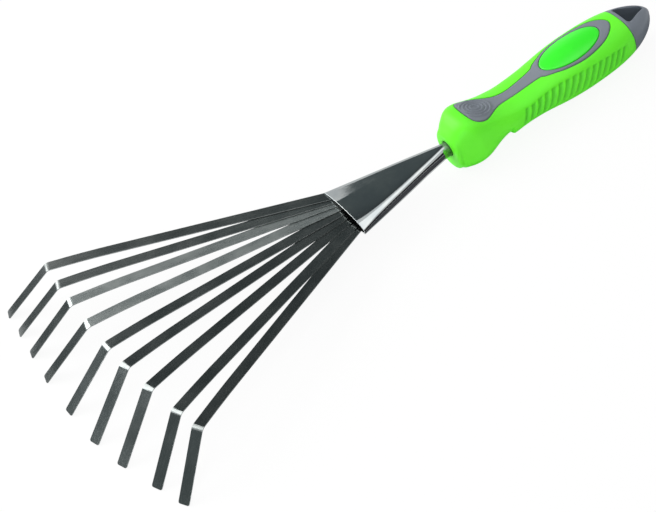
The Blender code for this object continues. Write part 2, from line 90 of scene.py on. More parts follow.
class Coat:
    """The nodes of one material, or of the world."""

    def __init__(self, owner):
        owner.use_nodes = True
        self.owner, self.tree = owner, owner.node_tree

    def feed(self, socket, value):
        if isinstance(value, Signal):
            self.tree.links.new(value.socket, socket)
        else:
            socket.default_value = value

    def node(self, kind, settings=None, values=None, out=0):
        """Add a node: its type, its settings, what its sockets are given, and the output wanted."""
        made = self.tree.nodes.new("ShaderNode" + kind)
        for name, setting in (settings or {}).items():
            setattr(made, name, setting)
        for name, value in (values or {}).items():
            self.feed(made.inputs[name], value)
        return Signal(self, made.outputs[out])

    def blend(self, share, first, second):
        """A colour between two others."""
        return self.node("Mix", {"data_type": "RGBA"}, {0: share, 6: first, 7: second}, out=2)

    def finish(self, values):
        """Values or links for the sockets of the material's own shader."""
        shader = self.tree.nodes["Principled BSDF"]
        for name, value in values.items():
            self.feed(shader.inputs[name], value)

    def seen(self):
        """1 for what the camera sees directly, in metal or through glass, and 0 for light."""
        path = self.tree.nodes.new("ShaderNodeLightPath")
        rays = [Signal(self, path.outputs[name])
                for name in ("Is Camera Ray", "Is Glossy Ray", "Is Transmission Ray")]
        return rays[0].most(rays[1]).most(rays[2])


world = Coat(bpy.data.worlds.new("surround"))
bpy.context.scene.world = world.owner
surround = world.tree.nodes["Background"]
world.feed(surround.inputs["Strength"], world.seen().part(0.0, 1.0) * (1 - AMBIENT) + AMBIENT)
surround.inputs["Color"].default_value = (1, 1, 1, 1)

paper = Coat(bpy.data.materials.new("floor_paper"))
matt = paper.node("BsdfDiffuse", {}, {"Color": (0.95, 0.95, 0.95, 1)})
glow = paper.node("Emission", {}, {"Color": (1, 1, 1, 1), "Strength": 1.0})
lit = paper.node("MixShader", {}, {0: paper.seen() * FLOOR_GLOW, 1: matt, 2: glow})
paper.feed(paper.tree.nodes["Material Output"].inputs["Surface"], lit)


def show(name, bm, *coats, smooth_below=35):
    """Turn a bmesh into an object with its materials, shaded smooth up to an angle."""
    mesh = bpy.data.meshes.new(name)
    bm.to_mesh(mesh)
    bm.free()
    mesh.shade_smooth()
    mesh.set_sharp_from_angle(angle=radians(smooth_below))
    for coat in coats:
        mesh.materials.append(coat.owner)
    made = bpy.data.objects.new(name, mesh)
    bpy.context.scene.collection.objects.link(made)
    return made


bm = bmesh.new()
bmesh.ops.create_grid(bm, x_segments=1, y_segments=1, size=FLOOR_HALF)
show("floor", bm, paper)


def lamp(name, point, width, height, power):
    """A soft rectangular lamp that faces the rake and is itself out of sight."""
    light = bpy.data.lights.new(name, "AREA")
    light.shape = "RECTANGLE"
    light.size, light.size_y, light.energy = width, height, power
    made = bpy.data.objects.new(name, light)
    bpy.context.scene.collection.objects.link(made)
    back = (Vector(point) - RAKE_MIDDLE).normalized()
    side = Vector((0.0, 0.0, 1.0)).cross(back).normalized()
    turn = Matrix((side, back.cross(side), back)).transposed()
    made.matrix_world = Matrix.Translation(point) @ turn.to_4x4()
    made.visible_camera = False


def screen(name, corners, low, high):
    """A dark card that only reflections show.

    Its two lower corners come first, and its shade runs from low at them to high at the upper two.
    """
    corners = [Vector(corner) for corner in corners]
    bm = bmesh.new()
    bmesh.ops.create_grid(bm, x_segments=1, y_segments=1, size=1.0)
    for vertex, corner in zip(bm.verts, corners):
        vertex.co = corner
    card = Coat(bpy.data.materials.new(name))
    rise = corners[2] - corners[0]
    along = card.node("VectorMath", {"operation": "DOT_PRODUCT"},
                      {0: card.node("TexCoord", out=3), 1: rise.normalized()}, out=1)
    base = corners[0].dot(rise.normalized())
    grey = card.blend(along.part(base, base + rise.length), (*low, 1), (*high, 1))
    dull = card.node("Emission", {}, {"Color": grey})
    card.feed(card.tree.nodes["Material Output"].inputs["Surface"], dull)
    made = show(name, bm, card)
    for ray in ("camera", "diffuse", "shadow", "transmission"):
        setattr(made, "visible_" + ray, False)


lamp("back_lamp", (-0.66, 0.90, 0.80), 1.0, 1.15, 15.0)
lamp("top_lamp", (0.25, -0.12, 1.4), 1.9, 1.2, 7.0)
lamp("side_lamp", (-1.0, -0.7, 0.45), 0.35, 0.35, 3.4)
screen("back_screen",
       [(-0.18, 0.82, 0.55), (1.3, 0.82, 0.55), (-0.18, 0.40, 1.75), (1.3, 0.40, 1.75)],
       low=(0.13, 0.155, 0.16), high=(0.05, 0.06, 0.065))
screen("left_screen",
       [(-0.395, 0.744, 0.001), (-0.925, -0.254, 0.001),
        (-0.395, 0.744, 0.16), (-0.925, -0.254, 0.70)],
       low=(0.14, 0.16, 0.16), high=(0.19, 0.22, 0.22))
screen("left_floor_screen",
       [(-0.95, 0.11, 0.0005), (-0.16, 0.11, 0.0005), (-0.95, 0.76, 0.0005), (-0.16, 0.76, 0.0005)],
       low=(0.15, 0.17, 0.17), high=(0.12, 0.14, 0.14))
screen("front_screen",
       [(-0.6, -0.9, 0.001), (1.4, -0.9, 0.001), (-0.6, -0.9, 1.0), (1.4, -0.9, 1.0)],
       low=(0.05, 0.05, 0.055), high=(0.03, 0.03, 0.035))
screen("front_floor_screen",
       [(-0.1, -0.9, 0.0005), (0.2, -0.9, 0.0005), (-0.1, -0.065, 0.0005), (0.2, 0.0385, 0.0005)],
       low=(0.05, 0.05, 0.055), high=(0.10, 0.10, 0.11))

CAMERA_AT = (-0.337084, -0.792256, 0.893917)
VIEW_RIGHT = Vector((0.798633, -0.560487, -0.219180))      # the way the picture's width runs
VIEW_UP = Vector((0.547771, 0.526142, 0.650477))           # and its height
camera = bpy.data.objects.new("camera", bpy.data.cameras.new("camera"))
bpy.context.scene.collection.objects.link(camera)
bpy.context.scene.camera = camera
camera.data.lens = 134.85
camera.data.clip_start, camera.data.clip_end = 0.05, 50.0
turn = Matrix((VIEW_RIGHT, VIEW_UP, VIEW_RIGHT.cross(VIEW_UP))).transposed()
camera.matrix_world = Matrix.Translation(CAMERA_AT) @ turn.to_4x4()
bpy.context.scene.view_settings.view_transform = "Standard"


# The nine tines: strips of rolled spring steel, sheared square, with their edges tumbled and their
# ends bent down over a former.  Their faces keep the fine grain of the rolls that runs along them.

MM = 0.001
STRIPS = (                  # heading of each in degrees, grey of its face, dullness of its flat; the third and fourth greys are raised for a painted sheen
    (26.1, 0.23, 0.0), (21.3, 0.26, 0.0), (16.4, 0.44, 0.10),
    (9.9, 0.45, 0.10), (3.0, 0.22, 0.0), (-3.1, 0.20, 0.0),
    (-10.2, 0.19, 0.0), (-17.9, 0.20, 0.0), (-23.0, 0.18, 0.0))
GRAIN_DARK, GRAIN_LIGHT = (0.72, 0.79, 0.78), (1.18, 1.24, 1.2)        # times the strip's grey
BENT_DARK, BENT_LIGHT = (0.19, 0.21, 0.21, 1), (0.29, 0.31, 0.31, 1)   # below the bend
SCUFFED = (0.5, 0.5, 0.48, 1)
SCUFFED_BELOW, CLEAN_ABOVE = 1.0 * MM, 9.0 * MM    # over the floor, on the tips
STRIP_EDGE = 0.09 * MM                   # radius of the tumbled edges


def rolled_steel(name, heading, grey, dullness):
    """Spring steel as it comes off the rolls, grained along a heading, scuffed near the floor."""
    steel = Coat(bpy.data.materials.new(name))
    place = steel.node("TexCoord", out=3)
    along = steel.node("Mapping", {"vector_type": "TEXTURE"},
                       {"Vector": place, "Rotation": (0.0, 0.0, -radians(heading)),
                        "Scale": (14.0, 0.25, 14.0)})
    grain = steel.node("TexNoise", {},
                       {"Vector": along, "Scale": 900.0, "Detail": 4.0, "Roughness": 0.65})
    cloud = steel.node("TexNoise", {},
                       {"Vector": place, "Scale": 55.0, "Detail": 5.0, "Roughness": 0.6})
    speck = steel.node("TexNoise", {}, {"Vector": place, "Scale": 1500.0, "Detail": 2.0})
    height = steel.node("SeparateXYZ", {}, {0: place}, out=2)
    upward = steel.node("SeparateXYZ", {}, {0: steel.node("NewGeometry", out=1)}, out=2)
    lying = upward.part(0.80, 0.95)
    worn = (1 - height.part(SCUFFED_BELOW, CLEAN_ABOVE)) * speck.part(0.42, 0.62)
    shade = grain.part(0.25, 0.75) * 0.5 + cloud.part(0.3, 0.7) * 0.5
    # The flats that face up take the strip's grey, so a painted sheen lies on those of the third
    # and fourth strips.
    dark, light = ((*(grey * share for share in tint), 1) for tint in (GRAIN_DARK, GRAIN_LIGHT))
    flat = steel.blend(shade, dark, light)
    bent = steel.blend(shade, BENT_DARK, BENT_LIGHT)
    tone = steel.blend(worn * 0.12, steel.blend(lying, bent, flat), SCUFFED)
    rough = 0.14 + lying * dullness + grain * 0.05 + cloud.part(0.35, 0.7) * 0.04 + worn * 0.05
    relief = steel.node("Bump", {}, {"Height": grain * 0.9 + speck * 0.1, "Strength": 0.02,
                                     "Distance": 0.1 * MM})
    steel.finish({"Base Color": tone, "Metallic": 1.0, "Roughness": rough, "Normal": relief})
    return steel


def copy_of(node):
    """A CAD node's mesh as a bmesh, with its loose triangles merged into whole faces."""
    bm = bmesh.new()
    bm.from_mesh(nodes[node].data)
    bmesh.ops.remove_doubles(bm, verts=bm.verts, dist=0.002 * MM)
    bmesh.ops.dissolve_limit(bm, angle_limit=radians(0.6), verts=bm.verts, edges=bm.edges)
    return bm


def round_edges(piece, width, angle=30):
    """Round the edges of a piece that are sharper than an angle."""
    bevel = piece.modifiers.new("rounded_edges", "BEVEL")
    bevel.width, bevel.segments, bevel.limit_method = width, 2, "ANGLE"
    bevel.angle_limit, bevel.harden_normals = radians(angle), False


for number, look in enumerate(STRIPS, start=1):
    steel = rolled_steel(f"rolled_steel_{number}", *look)
    strip = show(f"strip_{number}", copy_of(f"tine_{number}"), steel, smooth_below=30)
    round_edges(strip, STRIP_EDGE)
    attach(strip, "root")
    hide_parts(f"tine_{number}")


# The rivet through the roots of the tines, and the rod that joins the socket to the handle.  Both
# are plain drawn steel, out of sight once the rake is together.

drawn = Coat(bpy.data.materials.new("drawn_steel"))
place = drawn.node("TexCoord", out=3)
along = drawn.node("Mapping", {}, {"Vector": place, "Scale": (0.1, 1.0, 1.0)})
lines = drawn.node("TexNoise", {}, {"Vector": along, "Scale": 1200.0, "Detail": 4.0})
relief = drawn.node("Bump", {}, {"Height": lines, "Strength": 0.2, "Distance": 0.1 * MM})
drawn.finish({"Base Color": drawn.blend(lines, (0.30, 0.31, 0.32, 1), (0.46, 0.47, 0.48, 1)),
              "Metallic": 1.0, "Roughness": 0.3 + lines * 0.2, "Normal": relief})
for name in ("root_rivet", "tang"):
    nodes[name].data.materials.clear()
    nodes[name].data.materials.append(drawn.owner)


# The socket: sheet steel rolled and pressed to a flat mouth on the fan and a round neck, then
# polished until it mirrors.  Its mouth is trimmed square and the lip is broken with a file.

FACE_X = 2.6 * MM            # the handle's flat front face, along the handle's own middle line
HANDLE_Y, HANDLE_Z = -3.947 * MM, 13.61 * MM       # where that line runs
LEAN = radians(2.9)          # the whole rake leans this much, as it lies
LIFT = radians(3.6)          # the socket rises this much from the handle to its mouth
HANDLE_PLACE = (Matrix.Translation((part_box("grip_sleeve")[0].x - FACE_X, HANDLE_Y, HANDLE_Z))
                @ Matrix.Rotation(-LEAN, 4, "X"))
HEAD_PLACE = HANDLE_PLACE @ Matrix.Rotation(LIFT, 4, "Y")
SOCKET_LENGTH = 62.0 * MM    # from its mouth to the start of its straight neck
NECK_LENGTH = 5.0 * MM       # which ends inside the handle
MOUTH_HALF_WIDTH, MOUTH_HALF_HEIGHT = 18.4 * MM, 3.05 * MM
NECK_RADIUS = 4.0 * MM
FULL_HEIGHT_AT = 15.8 * MM   # it is as high as the neck from this far before the neck
SHEET, LIP = 0.8 * MM, 0.5 * MM                    # thickness, and that of the filed lip
LIP_SHARE = 0.06             # share of the length over which the sheet thins to the lip
NEAR_ROLL = 7.0              # squareness of its near side, towards -Y, on the way to the neck
NEAR_DROP = 1.9 * MM         # the mouth is rolled down this far along its near side
NEAR_SQUARE = 4.5            # squareness of the mouth's lower near corner
RIDGE_AT, RIDGE_RISE = 5.0 * MM, 0.95 * MM         # the mouth's highest place, over the stack
TOP_PRESS = 0.3 * MM         # and all of its top is pressed down by this
PRESS_FADE = 1.6             # how fast these fade towards the neck
SOCKET_EDGE = 0.12 * MM      # radius of its filed edges
DULL_FROM, DULL_TO = 46.0 * MM, 49.0 * MM          # where the neck dulls towards the handle and painted shade darkens it
CORNER_POINTS, FLAT_POINTS = 14, 18                # in a quarter of a section
SOCKET_STATIONS = 48


def mix(first, second, share):
    """A number between two others."""
    return first + (second - first) * share


def ease(share):
    """0 below 0, 1 above 1, smooth in between."""
    share = min(max(share, 0.0), 1.0)
    return share * share * (3 - 2 * share)


def start_ring(bm, points):
    """A closed loop of points, to be pulled into a form."""
    ring = bmesh.ops.create_circle(bm, segments=len(points), radius=1.0)["verts"]
    for vertex, point in zip(ring, points):
        vertex.co = point
    return ring


def edges_of(bm, ring):
    """The edges of a closed loop of vertices."""
    return [bm.edges.get((a, b)) for a, b in zip(ring, ring[1:] + ring[:1])]


def pull(bm, ring, points):
    """Extrude a closed loop once, and put the new loop at these points."""
    grown = bmesh.ops.extrude_edge_only(bm, edges=edges_of(bm, ring))["geom"]
    new = {item for item in grown if isinstance(item, bmesh.types.BMVert)}
    ring = [next(edge.other_vert(old) for edge in old.link_edges if edge.other_vert(old) in new)
            for old in ring]
    for vertex, point in zip(ring, points):
        vertex.co = point
    return ring


def pull_through(bm, rings):
    """Pull a loop through a list of rings of points; returns its first and last loop."""
    first = last = start_ring(bm, rings[0])
    for points in rings[1:]:
        last = pull(bm, last, points)
    return first, last


def face_outward(bm):
    """Merge doubled points and turn every face outward."""
    bmesh.ops.remove_doubles(bm, verts=bm.verts, dist=0.001 * MM)
    bmesh.ops.recalc_face_normals(bm, faces=bm.faces)


def pull_shell(rings):
    """A walled form, from rings that run over its outside and back through its inside."""
    bm = bmesh.new()
    first, last = pull_through(bm, rings)
    bmesh.ops.bridge_loops(bm, edges=edges_of(bm, first) + edges_of(bm, last))
    face_outward(bm)
    return bm


def rounded_side(count, half_width, low, high, squareness, crowding=1.0):
    """Points along a quarter of an oval section, from its side up to its middle.

    Crowding above 1 gathers them at the side.
    """
    points = []
    for step in range(count + 1):
        turn = pi / 2 * (step / count) ** crowding
        points.append((half_width * cos(turn) ** (2 / squareness),
                       mix(low, high, sin(turn) ** (2 / squareness))))
    return points


def socket_ring(share, inset, x):
    """A section of the socket: a flat box over the tines at its mouth, a circle at its neck."""
    grown = min(share / (1 - FULL_HEIGHT_AT / SOCKET_LENGTH), 1.0)
    pressed = (1 - share) ** PRESS_FADE
    half_width = mix(MOUTH_HALF_WIDTH, NECK_RADIUS, share) - inset
    half_height = mix(MOUTH_HALF_HEIGHT, NECK_RADIUS, grown) - inset
    flat = half_width - half_height
    far_corner = [(flat + y, z) for y, z in
                  rounded_side(CORNER_POINTS, half_height, 0.0, half_height, squareness=2.0)]
    half_flat = [(flat * (1 - step / FLAT_POINTS), half_height)
                 for step in range(1, FLAT_POINTS + 1)]
    drop = NEAR_DROP * pressed
    near_top = rounded_side(CORNER_POINTS + FLAT_POINTS, half_width, -drop, half_height,
                            squareness=2.0 + NEAR_ROLL * share * (1 - share), crowding=1.3)
    near_corner = rounded_side(CORNER_POINTS, half_height, drop, half_height,
                               squareness=mix(NEAR_SQUARE, 2.0, grown))
    ridge_y = RIDGE_AT * half_width / MOUTH_HALF_WIDTH
    ring = []
    for y, z in far_corner + half_flat + [(-y, z) for y, z in near_top[-2::-1]]:
        run = (half_width - y) / (half_width - ridge_y)
        if y <= ridge_y:
            run = (half_width + y) / (half_width + ridge_y)
        raised = pressed * (RIDGE_RISE * run - TOP_PRESS) * max(z, 0.0) / half_height
        ring.append(Vector((x, y, z + raised)))
    lower = [(-flat - y, z) for y, z in near_corner[1:]] + [(-y, z) for y, z in half_flat]
    lower += half_flat[-2::-1] + far_corner[:0:-1]
    return ring + [Vector((x, y, -z)) for y, z in lower]


outside, inside = [], []
for share in (station / SOCKET_STATIONS for station in range(SOCKET_STATIONS + 1)):
    x = -SOCKET_LENGTH * (1 - share)
    outside.append(socket_ring(share, 0.0, x))
    inside.append(socket_ring(share, mix(LIP, SHEET, ease(share / LIP_SHARE)), x))
outside.append(socket_ring(1.0, 0.0, NECK_LENGTH))
inside.append(socket_ring(1.0, SHEET, NECK_LENGTH))
bm = pull_shell(outside + inside[::-1])
bmesh.ops.transform(bm, matrix=HEAD_PLACE, verts=bm.verts)

mirror = Coat(bpy.data.materials.new("polished_sheet"))
place = mirror.node("TexCoord", out=3)
along = mirror.node("Mapping", {}, {"Vector": place, "Scale": (0.2, 1.0, 1.0)})
wisp = mirror.node("TexNoise", {},
                   {"Vector": place, "Scale": 60.0, "Detail": 6.0, "Roughness": 0.6})
rub = mirror.node("TexNoise", {}, {"Vector": along, "Scale": 1600.0, "Detail": 3.0})
dulled_and_shaded = mirror.node("SeparateXYZ", {}, {0: place}).part(DULL_FROM, DULL_TO)
sheen = mirror.blend(wisp.part(0.3, 0.7), (0.37, 0.40, 0.41, 1), (0.47, 0.49, 0.48, 1))
rough = 0.04 + wisp.part(0.45, 0.75) * 0.06 + rub * 0.03 + dulled_and_shaded * 0.38
relief = mirror.node("Bump", {}, {"Height": wisp * 0.8 + rub * 0.05, "Strength": 0.10,
                                  "Distance": 0.3 * MM})
# Painted shade: the neck's colour is darkened where it enters the handle.
mirror.finish({"Base Color": mirror.blend(dulled_and_shaded * 0.5, sheen, (0.10, 0.11, 0.11, 1)),
               "Metallic": 1.0, "Roughness": rough, "Normal": relief})
socket = show("pressed_socket", bm, mirror, smooth_below=50)
round_edges(socket, SOCKET_EDGE, angle=50)
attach(socket, "root")
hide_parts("socket")


# The core: hard grey plastic moulded over the rod.  Only its butt shows, with the hanging hole,
# whose rim is rounded top and bottom.  A narrow groove is left where the green sleeve stops
# against it.

HANDLE_LENGTH = 135.0 * MM
BELLY_X, STEP_X, SEAM_X = 84.5 * MM, 34.9 * MM, 115.3 * MM
BELLY = (16.7 * MM, 11.8 * MM, 12.5 * MM, 2.4)     # half width, top, bottom, squareness
SECTIONS = np.array((        # mm from the front; half width, top and bottom in mm; squareness
    (2.6, 8.7, 7.8, 11.5, 2.2), (3.2, 9.4, 8.7, 12.4, 2.3), (4.0, 9.7, 9.9, 13.0, 2.5),
    (5.0, 10.0, 11.2, 13.3, 2.7), (6.0, 10.4, 12.5, 13.4, 2.9), (8.0, 11.3, 14.5, 13.4, 3.1),
    (10.7, 12.9, 16.5, 13.3, 3.3), (14.0, 14.7, 16.5, 12.6, 3.2), (18.0, 14.9, 15.6, 11.9, 3.1),
    (24.0, 14.8, 13.5, 9.6, 2.7), (30.0, 15.0, 11.1, 8.2, 2.5), (36.0, 15.4, 9.1, 7.6, 2.5),
    (43.0, 15.2, 8.0, 7.2, 2.4), (50.0, 15.0, 8.35, 7.8, 2.4), (58.0, 15.2, 9.15, 9.1, 2.4),
    (68.0, 15.8, 10.5, 11.3, 2.4), (76.0, 16.3, 11.4, 12.3, 2.4), (84.5, 16.7, 11.8, 12.5, 2.4),
    (92.0, 16.7, 11.8, 12.5, 2.4))).T
BUTT_FALL, BUTT_NARROWING, BUTT_FLATTENING = 2.9, 0.73, 0.45       # how the butt closes
HOLLOW_X, HOLLOW = 19.0 * MM, 2.1 * MM             # the finger hollow's start, and its depth
BODY_POINTS, CORE_POINTS = 176, 96                 # around a section of the handle
SLEEVE_WALL, GAP = 2.2 * MM, 0.3 * MM
INNER_MARKS = [              # mm from the front, of the rings between the core and the sleeve
    *np.linspace(6.3, 33.6, 12), 34.4, 34.7, 34.9, 35.1, 35.4, *np.linspace(37.0, 115.15, 30)]
GROOVE_SHADE = 0.42                # how far painted shade darkens the colour of a groove


def section(x):
    """Half width, top, bottom and squareness of the handle at a distance from its front."""
    if x > BELLY_X:
        left = 1 - min((x - BELLY_X) / (HANDLE_LENGTH - BELLY_X), 0.9999) ** BUTT_FALL
        half_width, top, bottom, squareness = BELLY
        flatter = left ** BUTT_FLATTENING
        return [half_width * left ** BUTT_NARROWING, top * flatter, bottom * flatter, squareness]
    at = x / MM
    spread = min(0.3 * (at - FACE_X / MM), 3.0) * min((BELLY_X / MM - at) / 6.0, 1.0)
    around = at + spread * np.linspace(-1.0, 1.0, 7)
    half_width, top, bottom, squareness = (float(np.interp(around, SECTIONS[0], row).mean())
                                           for row in SECTIONS[1:])
    return [half_width * MM, top * MM, bottom * MM, squareness]


def surface_at(x, y, side=1):
    """Height of the handle's upper surface, or with side -1 the depth of its lower one."""
    half_width, top, bottom, squareness = section(x)
    height = top if side > 0 else bottom
    return height * max(1 - (abs(y) / half_width) ** squareness, 0.0) ** (1 / squareness)


def finger_hollow(point, angle):
    """Depth of the hollow under the handle that ends at the finger stop."""
    deeper = ease((point.x - HOLLOW_X) / (STEP_X - HOLLOW_X))
    before = 1 - ease((point.x - STEP_X) / (0.4 * MM) + 0.5)
    return HOLLOW * deeper * before * ease((0.12 - sin(angle)) / 0.4)


def body_ring(x, inset=0.0, points=BODY_POINTS, relief=None):
    """A section of the handle, its points evenly spaced, with an optional relief pressed in."""
    half_width, top, bottom, squareness = section(x)
    ring = []
    for index in range(points):
        angle = 2 * pi * index / points
        across, up = cos(angle), sin(angle)
        height = top if up > 0 else bottom
        reach = (abs(across / (half_width - inset)) ** squareness
                 + abs(up / (height - inset)) ** squareness) ** (-1 / squareness)
        point = Vector((x, reach * across, reach * up))
        if relief:
            point -= Vector((0.0, across, up)) * relief(point, angle)
        ring.append(point)
    return ring


def pull_solid(rings):
    """A solid form, from rings that run from one end of it to the other."""
    bm = bmesh.new()
    for ring in pull_through(bm, rings):
        bmesh.ops.edgeloop_fill(bm, edges=edges_of(bm, ring))
    face_outward(bm)
    return bm


def subtract(piece, cutter):
    """Cut one object with another and keep the result as the piece's own mesh."""
    cut = piece.modifiers.new("cut", "BOOLEAN")
    cut.object, cut.operation, cut.solver = cutter, "DIFFERENCE", "EXACT"
    bpy.context.view_layer.update()
    graph = bpy.context.evaluated_depsgraph_get()
    result = bpy.data.meshes.new_from_object(piece.evaluated_get(graph))
    piece.modifiers.clear()
    piece.data = result
    bpy.data.objects.remove(cutter)


def clean_cuts(piece):
    """Split the faces into triangles, and merge the points that cuts leave too close together."""
    bm = bmesh.new()
    bm.from_mesh(piece.data)
    bmesh.ops.triangulate(bm, faces=bm.faces)
    bmesh.ops.remove_doubles(bm, verts=bm.verts, dist=0.01 * MM)
    bmesh.ops.dissolve_degenerate(bm, dist=0.005 * MM, edges=bm.edges)
    bmesh.ops.triangulate(bm, faces=bm.faces)
    bm.to_mesh(piece.data)
    bm.free()


def rounded_triangle(base_x, apex_x, half_width, corner, steps):
    """An outline of points, each with the direction straight out of it."""
    corners = [Vector((base_x, -half_width)), Vector((apex_x, 0.0)), Vector((base_x, half_width))]
    outline = []
    for index, at in enumerate(corners):
        back = (corners[index - 1] - at).normalized()
        ahead = (corners[(index + 1) % 3] - at).normalized()
        half_angle = acos(back.dot(ahead)) / 2
        centre = at + (back + ahead).normalized() * corner / sin(half_angle)
        arm = at + back * corner / tan(half_angle) - centre
        begin, sweep = atan2(arm.y, arm.x), pi - 2 * half_angle
        for step in range(steps + 1):
            angle = begin + sweep * step / steps
            out = Vector((cos(angle), sin(angle)))
            outline.append((centre + out * corner, out))
    return outline


def moulded_plastic(name, base, light, rough, grain_depth, shade_attribute=None, groove_shade_tone=None):
    """A spark-textured moulded plastic: fine grain, slow drifts of shade and a few rubbed places.

    An attribute, where one is given, paints shade into the grooves that it is 1 in, towards a
    darker tone.
    """
    plastic = Coat(bpy.data.materials.new(name))
    place = plastic.node("TexCoord", out=3)
    grain = plastic.node("TexNoise", {},
                         {"Vector": place, "Scale": 2600.0, "Detail": 3.0, "Roughness": 0.6})
    drift = plastic.node("TexNoise", {}, {"Vector": place, "Scale": 38.0, "Detail": 4.0})
    rub = plastic.node("TexNoise", {},
                       {"Vector": place, "Scale": 130.0, "Detail": 6.0, "Roughness": 0.7})
    tone = plastic.blend(drift.part(0.3, 0.7) * 0.7 + grain.part(0.3, 0.7) * 0.3,
                         (*base, 1), (*light, 1))
    # Painted shade: the grooves that the attribute marks are darkened in the colour.
    if shade_attribute:
        groove = plastic.node("Attribute", {"attribute_name": shade_attribute}, out=2)
        tone = plastic.blend(groove * GROOVE_SHADE, tone, (*groove_shade_tone, 1))
    relief = plastic.node("Bump", {}, {"Height": grain, "Strength": grain_depth,
                                       "Distance": 0.08 * MM})
    plastic.finish({"Base Color": tone, "Normal": relief,
                    "Roughness": rough + grain * 0.1 - rub.part(0.55, 0.8) * 0.12})
    return plastic


BUTT_FRONT = SEAM_X + GAP / 2
BUTT_STEPS = 26
rings = [body_ring(mark * MM, SLEEVE_WALL, CORE_POINTS, finger_hollow) for mark in INNER_MARKS]
rings.append(body_ring(BUTT_FRONT, SLEEVE_WALL, CORE_POINTS))
rings.append(body_ring(BUTT_FRONT, 0.35 * MM, CORE_POINTS))
rings.append(body_ring(BUTT_FRONT + 0.1 * MM, 0.1 * MM, CORE_POINTS))
for step in range(BUTT_STEPS + 1):
    along = sin(pi / 2 * step / BUTT_STEPS)
    x = mix(BUTT_FRONT + 0.35 * MM, HANDLE_LENGTH - 0.3 * MM, along)
    rings.append(body_ring(x, 0.0, CORE_POINTS))
core_grey = moulded_plastic("core_grey", (0.14, 0.165, 0.20), (0.175, 0.20, 0.235), 0.42, 0.5)
core = show("moulded_core", pull_solid(rings), core_grey)

HOLE_BASE_X, HOLE_APEX_X, HOLE_HALF_WIDTH = 117.4 * MM, 133.4 * MM, 7.8 * MM
HOLE_CORNER, HOLE_RIM = 1.6 * MM, 0.5 * MM         # radius of its corners and of its rounded rim
RIM_ANGLES = range(20, 91, 14)                     # degrees round the rim
CUTTER_REACH = 15 * MM       # the cutter ends this far above and below the middle line
outline = rounded_triangle(HOLE_BASE_X, HOLE_APEX_X, HOLE_HALF_WIDTH, HOLE_CORNER, 10)
rings = []
for side in (1, -1):
    spread = [point + away * HOLE_RIM * 1.3 for point, away in outline]
    flare = [[Vector((at.x, at.y, side * CUTTER_REACH)) for at in spread]]
    for turn in (radians(angle) for angle in RIM_ANGLES):
        spread = [point + away * HOLE_RIM * (1 - sin(turn)) for point, away in outline]
        sunk = HOLE_RIM * (1 - cos(turn))
        flare.append([Vector((at.x, at.y, side * (surface_at(at.x, at.y, side) - sunk)))
                      for at in spread])
    rings += flare[::side]
subtract(core, show("hole_cutter", pull_solid(rings)))

bm = copy_of("tang")
bmesh.ops.transform(bm, matrix=HANDLE_PLACE.inverted(), verts=bm.verts)
bm.normal_update()
for vertex in bm.verts:
    vertex.co += vertex.normal * GAP
subtract(core, show("rod_space_cutter", bm))
clean_cuts(core)
core.data.transform(HANDLE_PLACE)
core.data.shade_smooth()
core.data.set_sharp_from_angle(angle=radians(40))
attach(core, "root")
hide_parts("handle_core")


# The grip: a lime green sleeve moulded over the core, with a flared guard in front, a band of
# finger ribs along each side below a soft crease, a stop under the waist and a pocket for the
# grey inlay.

PAD_FRONT, PAD_WIDEST, PAD_HALF = 15.7 * MM, 20.7 * MM, 10.3 * MM      # the inlay's outline
INLAY_NECK_X, INLAY_NECK_HALF = 46.1 * MM, 3.1 * MM
RING_X, RING_REAR, RING_HALF = 86.1 * MM, 109.5 * MM, 11.7 * MM
CREASE = np.array((          # mm from the front, and mm above the middle line
    (14.0, 15.5), (17.5, 12.3), (23.8, 9.4), (30.2, 7.9), (36.5, 6.5), (42.6, 5.6), (48.5, 5.2),
    (58.7, 6.4), (67.7, 7.0), (79.3, 6.7), (91.6, 5.9), (99.3, 5.2), (108.2, 4.1), (115.0, 3.4))).T
CREASE_DEPTH, CREASE_END = 0.35 * MM, 108 * MM
RIB_START, RIB_END, RIB_PITCH, RIB_SLANT = 44.0 * MM, 113.5 * MM, 4.23 * MM, 0.58
RIB_TOP_X, RIB_LEVEL = 48.6 * MM, 6.3 * MM         # the middle of one rib passes this place
RIB_DEPTH = 1.1 * MM
COLLAR_X, COLLAR_HALF, COLLAR_DEPTH = 5.0 * MM, 1.3 * MM, 0.5 * MM     # groove round the front
FRONT_ROUND, FRONT_ROUND_LENGTH = 0.6 * MM, 0.7 * MM
REAR_ROUND_X, REAR_ROUND, REAR_ROUND_LENGTH = SEAM_X - 0.55 * MM, 0.35 * MM, 0.4 * MM
POCKET_RIM, POCKET_RIM_SUNK = 0.35 * MM, 0.12 * MM     # out from the inlay's outline, and down
POCKET_WALL, POCKET_DEPTH = 0.12 * MM, 1.3 * MM
POCKET_REACH, FLOOR_FROM = 0.62 * MM, 0.45 * MM    # points this near, and this far in, are set
NECK_BORE = 4.35 * MM        # radius of the hole for the socket's neck
BORE_END, BORE_ROUND = 6.0 * MM, 0.3 * MM
SLEEVE_MARKS = [             # mm from the front, closest where the form turns
    FACE_X / MM, 2.68, 2.8, 3.0, 3.3, 3.6, *np.arange(3.9, 34.5, 0.5),
    34.6, 34.7, 34.8, 34.9, 35.0, 35.1, 35.2, 35.5, *np.arange(35.9, 37.2, 0.5), 37.4,
    *np.arange(38.9, 114.6, 0.5), 114.75, 114.9, 115.02, 115.1, 115.15]


def smooth_outline(points, steps):
    """A closed smooth curve through given points."""
    points = np.array(points)
    before, after, beyond = (np.roll(points, shift, 0) for shift in (1, -1, -2))
    t = (np.arange(steps) / steps)[None, :, None]
    a, b, c, d = (p[:, None, :] for p in (before, points, after, beyond))
    curve = 0.5 * (2 * b + (c - a) * t + (2 * a - 5 * b + 4 * c - d) * t ** 2
                   + (3 * b - a - 3 * c + d) * t ** 3)
    return curve.reshape(-1, 2)


